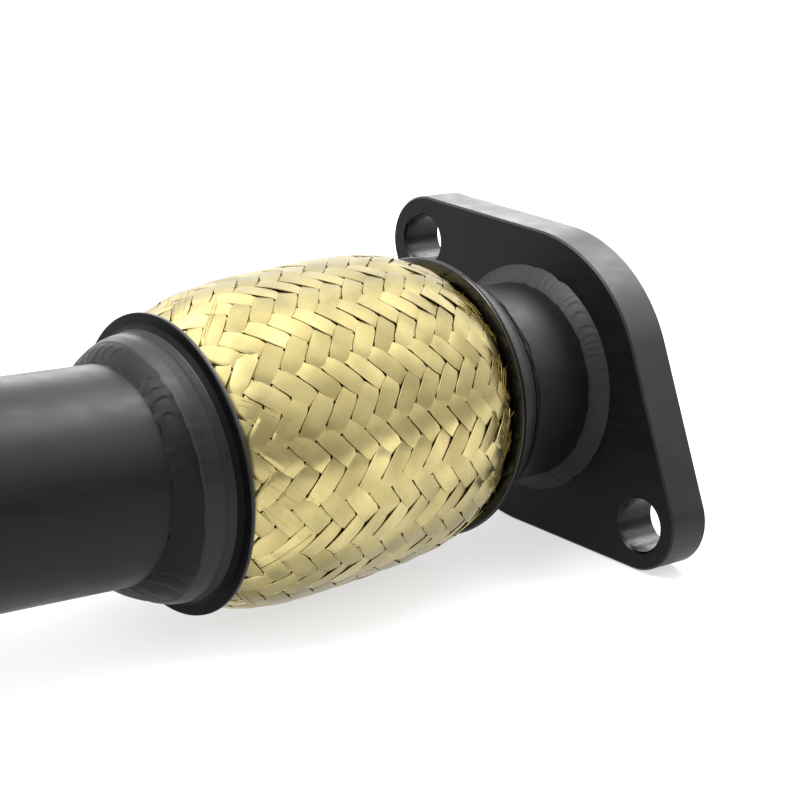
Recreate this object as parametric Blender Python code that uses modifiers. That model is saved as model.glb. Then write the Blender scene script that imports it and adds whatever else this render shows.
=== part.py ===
"""Turbo up-pipe: a flanged neck, a flex joint in a woven braid, and a bent tube with a second flange.

Metres, +Z up. The pipe lies on the lower edges of its two flanges, as it does on a bench. It is
laid out from the front face of the first flange, which is the plane X = 0, and leaves it towards
-X. The tube then turns to +Y. An empty carries everything, so that the origin ends up on the
floor below the middle of the whole pipe.
"""
import math

import bmesh
import bpy
import numpy as np
from mathutils import Matrix, Quaternion, Vector

# Clearance left between two solids that touch on the real pipe
GAP = 0.0003

# Tube
TUBE_RADIUS = 0.0254
TUBE_WALL = 0.0016
NECK_REACH = 0.0362
TUBE_RUN = 0.080
BEND_RADIUS = 0.0762
OUTLET_RUN = 0.030
TUBE_YAW = math.radians(1.3)

# Flanges: a plate with a round middle and two smaller round ears
FLANGE_THICKNESS = 0.0125
FLANGE_RIM = 0.014
FLANGE_CHAMFER = 0.0005
BOLT_SPACING = 0.103
BOLT_HOLE_RADIUS = 0.0069
EAR_RIM = 0.0056
EAR_OFFSET = 0.0011
TUBE_RECESS = 0.003

# Flex joint: the second collar sits a little aside and leans, as the joint was welded up
FLEX_LENGTH = 0.0839
FLEX_SHIFT_Y = -0.0048
FLEX_SHIFT_Z = -0.0021
COLLAR_YAW = math.radians(3.46)
COLLAR_DROP = math.radians(4.75)

# Collars, pressed from sheet
COLLAR_WALL = 0.0015
COLLAR_FLARE = 0.004
COLLAR_LIP_THICKNESS = 0.0013
COLLAR_MOUTH = 0.0035
COLLAR_SHOULDER_START = 0.0055
COLLAR_SHOULDER_LENGTH = 0.005
TUBE_CROSSING = 0.005

# Layers clamped in each collar
BRAID_THICKNESS = 0.0012
BRAID_RELIEF = 0.0005
BELLOWS_WALL = 0.0004
SLEEVE_WALL = 0.0008
LINER_WALL = 0.0010
CLAMPED_DEPTH = 0.005
LINER_REACH = 0.003
LINER_TO_TUBE = 0.0014

# Braid: flat strips wound both ways, each over two and under two
BRAID_LIFT = 0.0005
BRAID_STRIPS = 32
BRAID_ANGLE = math.radians(47.2)
BRAID_FULLNESS = 4.0
BRAID_ROUNDING = 1.4
BRAID_TURN = math.radians(128.5)
BRAID_ROW_SHIFT = 0.69
BRAID_PLAIN_END = 0.0012
BRAID_INNER_RINGS = 5

# Bellows under the braid
BELLOWS_FILL = 0.55
BELLOWS_WAVES = 5
BELLOWS_TAIL = 0.010
LINER_RINGS = 5

# Weld beads
FLANGE_WELD_REACH = 0.0030
FLANGE_WELD_SPREAD = 0.0042
NECK_WELD_REACH = 0.0028
TUBE_WELD_REACH = 0.0057
TUBE_WELD_PROUD = 0.0008
ROOT_WELD_FILL = 0.65

# Facets
TURNED_SIDES = 56
WELD_SIDES = 40
TUBE_SIDES = 40
HIDDEN_SIDES = 28
BORE_SIDES = 48
BOLT_SIDES = 20
MIDDLE_ARC_STEPS = 8
EAR_ARC_STEPS = 12
BEND_STEPS = 12
SMOOTH_ANGLE = math.radians(32)
JOIN_DISTANCE = 0.000001

# Flange outline and heights
FLANGE_MIDDLE_RADIUS = TUBE_RADIUS + FLANGE_RIM
FLANGE_EAR_RADIUS = BOLT_HOLE_RADIUS + EAR_RIM
FLANGE_EAR_REACH = BOLT_SPACING / 2 - EAR_OFFSET
FLANGE_BORE = TUBE_RADIUS + GAP
EAR_SLOPE = math.asin((FLANGE_MIDDLE_RADIUS - FLANGE_EAR_RADIUS) / FLANGE_EAR_REACH)
AXIS_HEIGHT = FLANGE_MIDDLE_RADIUS
TUBE_END_DEPTH = FLANGE_THICKNESS - TUBE_RECESS

# Places and directions along the pipe
NECK_DIRECTION = Vector((-1, 0, 0))
OUTLET_DIRECTION = Vector((0, 1, 0))
COLLAR_DIRECTION = Vector((-1, math.tan(COLLAR_YAW), -math.tan(COLLAR_DROP))).normalized()
NECK_FLANGE_PLACE = Vector((0, 0, AXIS_HEIGHT))
NECK_COLLAR_PLACE = NECK_FLANGE_PLACE + NECK_DIRECTION * NECK_REACH
TUBE_COLLAR_PLACE = NECK_COLLAR_PLACE + Vector((-FLEX_LENGTH, FLEX_SHIFT_Y, FLEX_SHIFT_Z))
CROSSING_PLACE = TUBE_COLLAR_PLACE + COLLAR_DIRECTION * TUBE_CROSSING


def tube_direction():
    """The way the straight tube runs, so that both flanges' middles end up equally high."""
    slope = 0.0
    for _ in range(8):
        direction = Vector((-1, math.tan(TUBE_YAW), slope)).normalized()
        tangent = BEND_RADIUS * math.tan(direction.angle(OUTLET_DIRECTION) / 2)
        rise = (AXIS_HEIGHT - CROSSING_PLACE.z) / (TUBE_RUN - TUBE_CROSSING + tangent)
        slope = rise * math.sqrt((1 + math.tan(TUBE_YAW) ** 2) / (1 - rise ** 2))
    return direction


TUBE_DIRECTION = tube_direction()
BEND_ANGLE = TUBE_DIRECTION.angle(OUTLET_DIRECTION)
BEND_TANGENT = BEND_RADIUS * math.tan(BEND_ANGLE / 2)
BEND_START = CROSSING_PLACE + TUBE_DIRECTION * (TUBE_RUN - TUBE_CROSSING)
BEND_END = BEND_START + (TUBE_DIRECTION + OUTLET_DIRECTION) * BEND_TANGENT
OUTLET_PLACE = BEND_END + OUTLET_DIRECTION * OUTLET_RUN
MITRE = COLLAR_DIRECTION.angle(TUBE_DIRECTION)

# Radii in the collars, from the tube outwards; the sleeve leaves room for the tube's lean
COLLAR_DEPTH = COLLAR_SHOULDER_START + COLLAR_SHOULDER_LENGTH
TUBE_SPREAD = TUBE_RADIUS / math.cos(MITRE) + abs(COLLAR_DEPTH - TUBE_CROSSING) * math.tan(MITRE)
SLEEVE_BORE = (TUBE_SPREAD + GAP) / math.cos(math.pi / HIDDEN_SIDES)
SLEEVE_RADIUS = SLEEVE_BORE + SLEEVE_WALL
BELLOWS_ROOT_RADIUS = SLEEVE_RADIUS + GAP + BELLOWS_WALL
BRAID_END_RADIUS = BELLOWS_ROOT_RADIUS + GAP + BRAID_THICKNESS
COLLAR_BORE = BRAID_END_RADIUS + GAP
COLLAR_BODY_RADIUS = COLLAR_BORE + COLLAR_WALL
COLLAR_LIP_RADIUS = COLLAR_BODY_RADIUS + COLLAR_FLARE
COLLAR_NECK_BORE = SLEEVE_RADIUS + GAP
COLLAR_NECK_RADIUS = COLLAR_NECK_BORE + COLLAR_WALL
LINER_RADIUS = SLEEVE_BORE - GAP
TUBE_INSERT = LINER_REACH + LINER_TO_TUBE + TUBE_RADIUS * math.sin(MITRE)
BRAID_RADIUS = AXIS_HEIGHT - BRAID_LIFT
BELLOWS_CREST_RADIUS = BELLOWS_ROOT_RADIUS + BELLOWS_FILL * (BRAID_RADIUS - BRAID_END_RADIUS)


def flex_frame(station):
    """Centre and turn of the flex joint's section at a distance from the first collar's lip."""
    if station <= 0:
        return NECK_COLLAR_PLACE + NECK_DIRECTION * station, Quaternion()
    if station >= FLEX_LENGTH:
        centre = TUBE_COLLAR_PLACE + COLLAR_DIRECTION * (station - FLEX_LENGTH)
        return centre, NECK_DIRECTION.rotation_difference(COLLAR_DIRECTION)
    u = station / FLEX_LENGTH
    span = TUBE_COLLAR_PLACE - NECK_COLLAR_PLACE
    start_pull = NECK_DIRECTION * FLEX_LENGTH
    end_pull = COLLAR_DIRECTION * FLEX_LENGTH
    centre = NECK_COLLAR_PLACE + span * (3 * u ** 2 - 2 * u ** 3)
    centre += start_pull * (u ** 3 - 2 * u ** 2 + u) + end_pull * (u ** 3 - u ** 2)
    tangent = span * (6 * u - 6 * u ** 2)
    tangent += start_pull * (3 * u ** 2 - 4 * u + 1) + end_pull * (3 * u ** 2 - 2 * u)
    return centre, NECK_DIRECTION.rotation_difference(tangent)


def bent(point):
    """Where a point of the straight flex joint, drawn along local Z, lies on the bent one."""
    centre, turn = flex_frame(point.z)
    return centre + turn @ Vector((0, point.x, -point.y))


def braid_radius(station):
    """Outer radius of the braid: a barrel that draws in steeply at both collars."""
    half = FLEX_LENGTH / 2
    off_middle = min(abs(station - half) / half, 1.0)
    swell = (1 - off_middle ** BRAID_FULLNESS) ** (1 / BRAID_ROUNDING)
    return BRAID_END_RADIUS + (BRAID_RADIUS - BRAID_END_RADIUS) * swell


def braid_rows():
    """Row numbers and stations where strips cross; strips keep their angle as the barrel narrows."""
    stations = np.linspace(0, FLEX_LENGTH, 401)
    rate = np.array([math.tan(BRAID_ANGLE) / braid_radius(s) for s in stations])
    steps = (rate[1:] + rate[:-1]) / 2 * np.diff(stations)
    advance = np.concatenate([[0], np.cumsum(steps)])
    count = (advance - advance[-1] / 2) * BRAID_STRIPS / math.pi + BRAID_ROW_SHIFT
    first = math.ceil(np.interp(BRAID_PLAIN_END, stations, count))
    last = math.floor(np.interp(FLEX_LENGTH - BRAID_PLAIN_END, stations, count))
    return [(row, float(np.interp(row, count, stations))) for row in range(first, last + 1)]


def clear_scene():
    for old in list(bpy.data.objects):
        bpy.data.objects.remove(old, do_unlink=True)


def material(name, color, roughness, metallic):
    """A plain Principled material."""
    made = bpy.data.materials.new(name)
    made.use_nodes = True
    shader = made.node_tree.nodes["Principled BSDF"]
    shader.inputs["Base Color"].default_value = (*color, 1)
    shader.inputs["Roughness"].default_value = roughness
    shader.inputs["Metallic"].default_value = metallic
    return made


def frame(name, place, z_axis, x_axis, parent):
    """An empty that carries a local frame."""
    made = bpy.data.objects.new(name, None)
    made.empty_display_size = TUBE_RADIUS
    turn = Matrix((x_axis, z_axis.cross(x_axis), z_axis)).transposed()
    made.location = place
    made.rotation_euler = turn.to_euler()
    made.parent = parent
    parts.objects.link(made)
    return made


def finish(name, source, surface, parent, height=0.0, mapping=None):
    """Turn a construction object into the finished part, a plain mesh in its parent's frame."""
    parts.objects.link(source)
    bpy.context.view_layer.update()
    graph = bpy.context.evaluated_depsgraph_get()
    mesh = bpy.data.meshes.new_from_object(source.evaluated_get(graph))
    bpy.data.objects.remove(source, do_unlink=True)
    if mapping:
        for vertex in mesh.vertices:
            vertex.co = mapping(vertex.co)
    joined = bmesh.new()
    joined.from_mesh(mesh)
    bmesh.ops.remove_doubles(joined, verts=joined.verts, dist=JOIN_DISTANCE)
    joined.to_mesh(mesh)
    joined.free()
    mesh.name = name
    mesh.materials.clear()
    mesh.materials.append(surface)
    mesh.shade_smooth()
    mesh.set_sharp_from_angle(angle=SMOOTH_ANGLE)
    part = bpy.data.objects.new(name, mesh)
    part.location.z = height
    part.parent = parent
    parts.objects.link(part)
    return part


def revolved(profile, sides, closed=True):
    """A profile of (radius, height) points turned about Z, top to bottom down its outer side."""
    doubled_area = sum(a[0] * b[1] - b[0] * a[1] for a, b in zip(profile, profile[1:] + profile[:1]))
    if closed and doubled_area > 0:
        profile = profile[::-1]
    count = len(profile)
    edges = [(i, (i + 1) % count) for i in range(count if closed else count - 1)]
    mesh = bpy.data.meshes.new("profile")
    mesh.from_pydata([(radius, 0, height) for radius, height in profile], edges, [])
    made = bpy.data.objects.new("profile", mesh)
    screw = made.modifiers.new("turn", "SCREW")
    screw.steps = sides
    screw.render_steps = sides
    screw.use_merge_vertices = True
    screw.merge_threshold = JOIN_DISTANCE
    return made


def ring_profile(inner, outer, start, end):
    """The section of a plain ring."""
    return [(outer, end), (outer, start), (inner, start), (inner, end)]


def arc(centre, radius, start, sweep, steps):
    """Points on an arc, both ends included."""
    angles = [start + sweep * i / steps for i in range(steps + 1)]
    return [(centre + radius * math.cos(a), radius * math.sin(a)) for a in angles]


def circle(centre, radius, sides):
    return arc(centre, radius, 0, 2 * math.pi, sides)[:-1]


def flange_outline():
    """The plate's edge: ear, middle, ear, middle, with straight runs between them."""
    ear = math.pi / 2 - EAR_SLOPE
    points = arc(FLANGE_EAR_REACH, FLANGE_EAR_RADIUS, -ear, 2 * ear, EAR_ARC_STEPS)
    points += arc(0, FLANGE_MIDDLE_RADIUS, ear, 2 * EAR_SLOPE, MIDDLE_ARC_STEPS)
    points += arc(-FLANGE_EAR_REACH, FLANGE_EAR_RADIUS, math.pi - ear, 2 * ear, EAR_ARC_STEPS)
    points += arc(0, FLANGE_MIDDLE_RADIUS, math.pi + ear, 2 * EAR_SLOPE, MIDDLE_ARC_STEPS)
    return points


def drawn_curve(paths, dimensions, cyclic):
    """A curve object with one straight-sided spline for each path."""
    curve = bpy.data.curves.new("path", "CURVE")
    curve.dimensions = dimensions
    for path in paths:
        spline = curve.splines.new("POLY")
        spline.points.add(len(path) - 1)
        for point, place in zip(spline.points, path):
            point.co = (*place, 0, 1) if len(place) == 2 else (*place, 1)
        spline.use_cyclic_u = cyclic
    return bpy.data.objects.new("path", curve)


def make_flange(name, parent):
    """A flange plate whose front face is local Z = 0, with its bore and two bolt holes."""
    holes = [circle(0, FLANGE_BORE, BORE_SIDES)]
    holes += [circle(side * BOLT_SPACING / 2, BOLT_HOLE_RADIUS, BOLT_SIDES) for side in (-1, 1)]
    plate = drawn_curve([flange_outline()] + holes, "2D", True)
    plate.data.fill_mode = "BOTH"
    plate.data.extrude = FLANGE_THICKNESS / 2 - FLANGE_CHAMFER
    plate.data.bevel_depth = FLANGE_CHAMFER
    plate.data.bevel_resolution = 0
    plate.data.offset = -FLANGE_CHAMFER
    return finish(name, plate, coated, parent, height=-FLANGE_THICKNESS / 2)


def make_flange_welds(front_name, root_name, parent):
    """The fillet in front of a flange, and the bead inside its bore at the tube's end."""
    inner = TUBE_RADIUS + GAP
    outer = inner + FLANGE_WELD_SPREAD
    front = [
        (inner, GAP),
        (outer, GAP),
        (outer - 0.12 * FLANGE_WELD_SPREAD, GAP + 0.25 * FLANGE_WELD_REACH),
        (outer - 0.5 * FLANGE_WELD_SPREAD, GAP + 0.7 * FLANGE_WELD_REACH),
        (inner, GAP + FLANGE_WELD_REACH),
    ]
    finish(front_name, revolved(front, WELD_SIDES), coated, parent)
    wall = FLANGE_BORE - GAP
    seat = -TUBE_END_DEPTH - GAP
    reach = ROOT_WELD_FILL * (TUBE_RECESS - GAP)
    root = [(wall, seat), (wall, seat - reach), (wall - 0.9 * TUBE_WALL, seat)]
    finish(root_name, revolved(root, WELD_SIDES), coated, parent)


def collar_profile():
    """A pressed collar: flat lip, trumpet mouth, straight body, and a shoulder down to its neck."""
    body_end = COLLAR_SHOULDER_START
    step = COLLAR_SHOULDER_LENGTH
    drop = COLLAR_BODY_RADIUS - COLLAR_NECK_RADIUS
    bore_drop = COLLAR_BORE - COLLAR_NECK_BORE
    flare = COLLAR_LIP_RADIUS - COLLAR_WALL - COLLAR_BORE
    return [
        (COLLAR_LIP_RADIUS, 0),
        (COLLAR_LIP_RADIUS, COLLAR_LIP_THICKNESS),
        (COLLAR_BODY_RADIUS + 0.36 * COLLAR_FLARE, COLLAR_LIP_THICKNESS),
        (COLLAR_BODY_RADIUS, COLLAR_MOUTH),
        (COLLAR_BODY_RADIUS, body_end),
        (COLLAR_BODY_RADIUS - 0.3 * drop, body_end + 0.5 * step),
        (COLLAR_NECK_RADIUS, body_end + step),
        (COLLAR_NECK_BORE, body_end + step),
        (COLLAR_NECK_BORE, body_end + 0.6 * step),
        (COLLAR_BORE - 0.2 * bore_drop, body_end + 0.2 * step),
        (COLLAR_BORE, body_end),
        (COLLAR_BORE, COLLAR_MOUTH),
        (COLLAR_BORE + 0.3 * flare, 0.36 * COLLAR_MOUTH),
        (COLLAR_BORE + flare, 0),
    ]


def make_collar(name, sleeve_name, parent):
    """A collar with the sleeve that backs the clamped layers; local Z runs from the lip to the neck."""
    finish(name, revolved(collar_profile(), TURNED_SIDES), coated, parent)
    sleeve = ring_profile(SLEEVE_BORE, SLEEVE_RADIUS, -LINER_REACH, COLLAR_DEPTH)
    finish(sleeve_name, revolved(sleeve, HIDDEN_SIDES), stainless, parent)


def make_neck_weld(parent):
    """The small bead between the neck's tube and its collar."""
    inner = TUBE_RADIUS + GAP
    outer = (COLLAR_NECK_BORE + COLLAR_NECK_RADIUS) / 2
    start = COLLAR_DEPTH + GAP
    bead = [
        (inner, start),
        (outer, start),
        (outer - 0.15 * (outer - inner), start + 0.35 * NECK_WELD_REACH),
        (inner + 0.3 * (outer - inner), start + 0.85 * NECK_WELD_REACH),
        (inner, start + NECK_WELD_REACH),
    ]
    finish("neck_collar_weld", revolved(bead, WELD_SIDES), coated, parent)


def make_tube_weld():
    """The thick hand-laid bead that takes up the angle between the second collar and its tube."""
    inner = TUBE_RADIUS + GAP
    spread = TUBE_SPREAD + GAP
    outer = COLLAR_NECK_RADIUS + TUBE_WELD_PROUD
    start = COLLAR_DEPTH + GAP
    drop = outer - inner
    bead = [
        (spread, start),
        (outer, start),
        (outer - 0.1 * drop, start + 0.3 * TUBE_WELD_REACH),
        (outer - 0.42 * drop, start + 0.72 * TUBE_WELD_REACH),
        (inner, start + TUBE_WELD_REACH),
    ]
    start_turn = NECK_DIRECTION.rotation_difference(COLLAR_DIRECTION)
    end_turn = NECK_DIRECTION.rotation_difference(TUBE_DIRECTION)

    def mitred(point):
        share = (point.z - start) / TUBE_WELD_REACH
        around = Vector((0, point.x, -point.y))
        from_collar = TUBE_COLLAR_PLACE + COLLAR_DIRECTION * point.z + start_turn @ around
        from_tube = CROSSING_PLACE + TUBE_DIRECTION * (point.z - TUBE_CROSSING) + end_turn @ around
        return from_collar.lerp(from_tube, share)

    finish("tube_collar_weld", revolved(bead, WELD_SIDES), coated, root, mapping=mitred)


def make_neck_tube(parent):
    """The short tube from inside the first flange to inside the first collar."""
    end = NECK_REACH - TUBE_INSERT
    section = ring_profile(TUBE_RADIUS - TUBE_WALL, TUBE_RADIUS, -TUBE_END_DEPTH, end)
    finish("neck_tube", revolved(section, TURNED_SIDES), coated, parent)


def make_up_tube():
    """The long tube: straight out of the second collar, round the bend and through its flange."""
    aside = (OUTLET_DIRECTION - TUBE_DIRECTION * TUBE_DIRECTION.dot(OUTLET_DIRECTION)).normalized()
    path = [CROSSING_PLACE + TUBE_DIRECTION * (TUBE_INSERT - TUBE_CROSSING)]
    for step in range(BEND_STEPS + 1):
        angle = BEND_ANGLE * step / BEND_STEPS
        ahead = TUBE_DIRECTION * math.sin(angle) + aside * (1 - math.cos(angle))
        path.append(BEND_START + ahead * BEND_RADIUS)
    path.append(OUTLET_PLACE + OUTLET_DIRECTION * TUBE_END_DEPTH)
    tube = drawn_curve([path], "3D", False)
    tube.data.bevel_depth = TUBE_RADIUS
    tube.data.bevel_resolution = TUBE_SIDES // 2 - 2
    wall = tube.modifiers.new("wall", "SOLIDIFY")
    wall.thickness = TUBE_WALL
    wall.use_even_offset = True
    finish("up_tube", tube, coated, root)


def make_liner():
    """The plain tube that lines the flex joint."""
    heights = [FLEX_LENGTH + LINER_REACH]
    heights += np.linspace(FLEX_LENGTH - LINER_REACH, LINER_REACH, LINER_RINGS).tolist()
    heights.append(-LINER_REACH)
    section = [(LINER_RADIUS, height) for height in heights]
    section += [(LINER_RADIUS - LINER_WALL, height) for height in heights[::-1]]
    finish("flex_liner", revolved(section, HIDDEN_SIDES), stainless, root, mapping=bent)


def make_bellows():
    """The gas-tight bellows: corrugations between two straight tails."""
    wave = (FLEX_LENGTH - 2 * BELLOWS_TAIL) / BELLOWS_WAVES
    line = [(BELLOWS_ROOT_RADIUS, FLEX_LENGTH + CLAMPED_DEPTH), (BELLOWS_ROOT_RADIUS, FLEX_LENGTH)]
    for i in range(BELLOWS_WAVES):
        top = FLEX_LENGTH - BELLOWS_TAIL - i * wave
        line.append((BELLOWS_ROOT_RADIUS, top - 0.15 * wave))
        line.append((BELLOWS_CREST_RADIUS, top - 0.35 * wave))
        line.append((BELLOWS_CREST_RADIUS, top - 0.65 * wave))
        line.append((BELLOWS_ROOT_RADIUS, top - 0.85 * wave))
    line += [(BELLOWS_ROOT_RADIUS, 0), (BELLOWS_ROOT_RADIUS, -CLAMPED_DEPTH)]
    bellows = revolved(line, HIDDEN_SIDES, closed=False)
    wall = bellows.modifiers.new("wall", "SOLIDIFY")
    wall.thickness = BELLOWS_WALL
    wall.use_even_offset = True
    finish("flex_bellows", bellows, stainless, root, mapping=bent)


def braid_rings():
    """Rings of corner points round the braid's section, each with its row number or None.

    Up the outside they follow the crossings of the strips. Where two strips cross the surface is
    raised, and at the corners between crossings it is low.
    """
    rings = []
    for station in (-CLAMPED_DEPTH, 0.0):
        rings.append((None, station, [BRAID_END_RADIUS] * (2 * BRAID_STRIPS)))
    for row, station in braid_rows():
        radius = braid_radius(station)
        radii = [radius - BRAID_RELIEF * ((row + column) % 2) for column in range(2 * BRAID_STRIPS)]
        rings.append((row, station, radii))
    for station in (FLEX_LENGTH, FLEX_LENGTH + CLAMPED_DEPTH):
        rings.append((None, station, [BRAID_END_RADIUS] * (2 * BRAID_STRIPS)))
    inner = [FLEX_LENGTH + CLAMPED_DEPTH]
    inner += [FLEX_LENGTH * (1 - math.cos(math.pi * i / BRAID_INNER_RINGS)) / 2
              for i in range(BRAID_INNER_RINGS, -1, -1)]
    inner.append(-CLAMPED_DEPTH)
    for station in inner:
        rings.append((None, station, [braid_radius(station) - BRAID_THICKNESS] * (2 * BRAID_STRIPS)))
    return rings


def make_braid():
    """The woven cover as one wall. The way each square is split draws the strips' over and under."""
    rings = braid_rings()
    columns = 2 * BRAID_STRIPS
    corners = []
    for _, station, radii in rings:
        for column, radius in enumerate(radii):
            angle = BRAID_TURN + column * math.pi / BRAID_STRIPS
            corners.append(bent(Vector((radius * math.cos(angle), -radius * math.sin(angle), station))))
    faces = []
    for i, (row, _, _) in enumerate(rings):
        following = (i + 1) % len(rings)
        woven = row is not None and rings[following][0] is not None
        for column in range(columns):
            beside = (column + 1) % columns
            a, b = i * columns + column, i * columns + beside
            c, d = following * columns + column, following * columns + beside
            level = woven and (row + column) % 2 == 0
            rising = column % 4 == 0 if level else column % 4 != 2
            faces += [(a, c, d), (a, d, b)] if rising else [(a, c, b), (b, c, d)]
    mesh = bpy.data.meshes.new("weave")
    mesh.from_pydata(corners, [], faces)
    finish("flex_braid", bpy.data.objects.new("weave", mesh), woven_metal, root)


def centre_origin():
    """Move everything so that the origin is on the floor below the middle of the pipe."""
    bpy.context.view_layer.update()
    graph = bpy.context.evaluated_depsgraph_get()
    corners = []
    for part in parts.objects:
        if part.type == "MESH":
            solid = part.evaluated_get(graph)
            corners += [solid.matrix_world @ vertex.co for vertex in solid.data.vertices]
    low = np.min(corners, axis=0)
    high = np.max(corners, axis=0)
    root.location = (-(low[0] + high[0]) / 2, -(low[1] + high[1]) / 2, -low[2])
    bpy.context.view_layer.update()


clear_scene()
parts = bpy.data.collections.new("turbo_up_pipe")
bpy.context.scene.collection.children.link(parts)
coated = material("coated_steel", (0.012, 0.012, 0.013), 0.38, 0.0)
stainless = material("stainless", (0.55, 0.54, 0.52), 0.30, 1.0)
woven_metal = material("woven_metal", (0.78, 0.62, 0.36), 0.35, 1.0)

root = bpy.data.objects.new("pipe_origin", None)
parts.objects.link(root)
neck_bolt_line = Vector((0, math.cos(EAR_SLOPE), math.sin(EAR_SLOPE)))
outlet_bolt_line = Vector((math.cos(EAR_SLOPE), 0, math.sin(EAR_SLOPE)))
across = Vector((0, 1, 0))
leaning_across = flex_frame(FLEX_LENGTH)[1] @ across
neck_frame = frame("neck_flange_frame", NECK_FLANGE_PLACE, NECK_DIRECTION, neck_bolt_line, root)
outlet_frame = frame("turbo_flange_frame", OUTLET_PLACE, -OUTLET_DIRECTION, outlet_bolt_line, root)
neck_collar_frame = frame("neck_collar_frame", NECK_COLLAR_PLACE, -NECK_DIRECTION, across, root)
tube_collar_frame = frame("tube_collar_frame", TUBE_COLLAR_PLACE, COLLAR_DIRECTION, leaning_across, root)

make_flange("neck_flange", neck_frame)
make_flange_welds("neck_flange_weld", "neck_root_weld", neck_frame)
make_neck_tube(neck_frame)
make_neck_weld(neck_collar_frame)
make_collar("neck_collar", "neck_sleeve", neck_collar_frame)
make_bellows()
make_liner()
make_braid()
make_collar("tube_collar", "tube_sleeve", tube_collar_frame)
make_tube_weld()
make_up_tube()
make_flange("turbo_flange", outlet_frame)
make_flange_welds("turbo_flange_weld", "turbo_root_weld", outlet_frame)
centre_origin()
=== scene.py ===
"""Dresses the turbo up-pipe: woven strips, laid weld beads, pressed collars and coated plates."""
import math

import bmesh
import bpy
import numpy as np
from mathutils import Matrix, Quaternion, Vector


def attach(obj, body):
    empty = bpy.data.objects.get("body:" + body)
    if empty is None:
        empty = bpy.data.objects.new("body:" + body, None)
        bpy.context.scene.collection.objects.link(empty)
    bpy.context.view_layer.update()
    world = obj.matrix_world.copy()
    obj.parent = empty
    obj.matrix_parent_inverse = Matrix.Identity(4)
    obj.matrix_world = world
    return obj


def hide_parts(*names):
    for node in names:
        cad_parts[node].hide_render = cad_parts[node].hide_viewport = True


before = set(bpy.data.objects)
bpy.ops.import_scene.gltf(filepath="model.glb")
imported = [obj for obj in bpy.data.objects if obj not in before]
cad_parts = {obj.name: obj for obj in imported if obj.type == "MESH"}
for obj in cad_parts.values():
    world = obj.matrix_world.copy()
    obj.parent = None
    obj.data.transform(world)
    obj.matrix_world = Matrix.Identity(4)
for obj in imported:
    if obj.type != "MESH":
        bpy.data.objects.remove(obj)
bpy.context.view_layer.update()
RANDOM_SEED = 7
chance = np.random.default_rng(RANDOM_SEED)
FULL_TURN = 2 * math.pi

# Sizes that the dressed pieces share with the solids, in metres
SHIFT = Vector((0.158552, -0.030392, 0))
GAP = 0.0003
TUBE_RADIUS = 0.0254
TUBE_BORE = 0.0238
TUBE_END_DEPTH = 0.0095
AXIS_HEIGHT = 0.0394
NECK_REACH = 0.0362
TUBE_INSERT = 0.0071
BEND_RADIUS = 0.0762
TUBE_RUN = 0.080
TUBE_CROSSING = 0.005
OUTLET_RUN = 0.030
FLANGE_THICKNESS = 0.0125
EAR_RADIUS = 0.0125
EAR_REACH = 0.0504
BOLT_REACH = 0.0515
BOLT_HOLE_RADIUS = 0.0069
EAR_SLOPE = math.asin((AXIS_HEIGHT - EAR_RADIUS) / EAR_REACH)
FLEX_LENGTH = 0.0839
COLLAR_DEPTH = 0.0105
BRAID_RADIUS = 0.0389
BRAID_END_RADIUS = 0.0296
BRAID_FULLNESS = 4
BRAID_ROUNDING = 1.4
BRAID_STRIPS = 32

NECK_DIRECTION = Vector((-1, 0, 0))
OUTLET_DIRECTION = Vector((0, 1, 0))
COLLAR_DIRECTION = Vector((-0.99476, 0.06015, -0.08266)).normalized()
TUBE_DIRECTION = Vector((-0.9996, 0.02268, 0.01681)).normalized()
NECK_FLANGE_PLACE = SHIFT + Vector((0, 0, AXIS_HEIGHT))
NECK_COLLAR_PLACE = NECK_FLANGE_PLACE + NECK_DIRECTION * NECK_REACH
TUBE_COLLAR_PLACE = NECK_COLLAR_PLACE + Vector((-FLEX_LENGTH, -0.0048, -0.0021))
CROSSING_PLACE = TUBE_COLLAR_PLACE + COLLAR_DIRECTION * TUBE_CROSSING
BEND_ANGLE = TUBE_DIRECTION.angle(OUTLET_DIRECTION)
BEND_TANGENT = BEND_RADIUS * math.tan(BEND_ANGLE / 2)
BEND_START = CROSSING_PLACE + TUBE_DIRECTION * (TUBE_RUN - TUBE_CROSSING)
BEND_END = BEND_START + (TUBE_DIRECTION + OUTLET_DIRECTION) * BEND_TANGENT
OUTLET_PLACE = BEND_END + OUTLET_DIRECTION * OUTLET_RUN

ACROSS = Vector((0, 1, 0))
UPWARD = Vector((0, 0, 1))
COLLAR_TURN = NECK_DIRECTION.rotation_difference(COLLAR_DIRECTION)
TUBE_TURN = NECK_DIRECTION.rotation_difference(TUBE_DIRECTION)


def local_frame(place, z_axis, x_axis):
    """A function that carries local points to the pipe's frame."""
    matrix = Matrix((x_axis, z_axis.cross(x_axis), z_axis)).transposed()
    return lambda point: place + matrix @ point


neck_bolt_line = Vector((0, math.cos(EAR_SLOPE), math.sin(EAR_SLOPE)))
outlet_bolt_line = Vector((math.cos(EAR_SLOPE), 0, math.sin(EAR_SLOPE)))
flange_frames = {
    "neck": local_frame(NECK_FLANGE_PLACE, NECK_DIRECTION, neck_bolt_line),
    "turbo": local_frame(OUTLET_PLACE, -OUTLET_DIRECTION, outlet_bolt_line),
}
collar_frames = {
    "neck": local_frame(NECK_COLLAR_PLACE, -NECK_DIRECTION, ACROSS),
    "tube": local_frame(TUBE_COLLAR_PLACE, COLLAR_DIRECTION, COLLAR_TURN @ ACROSS),
}


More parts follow.
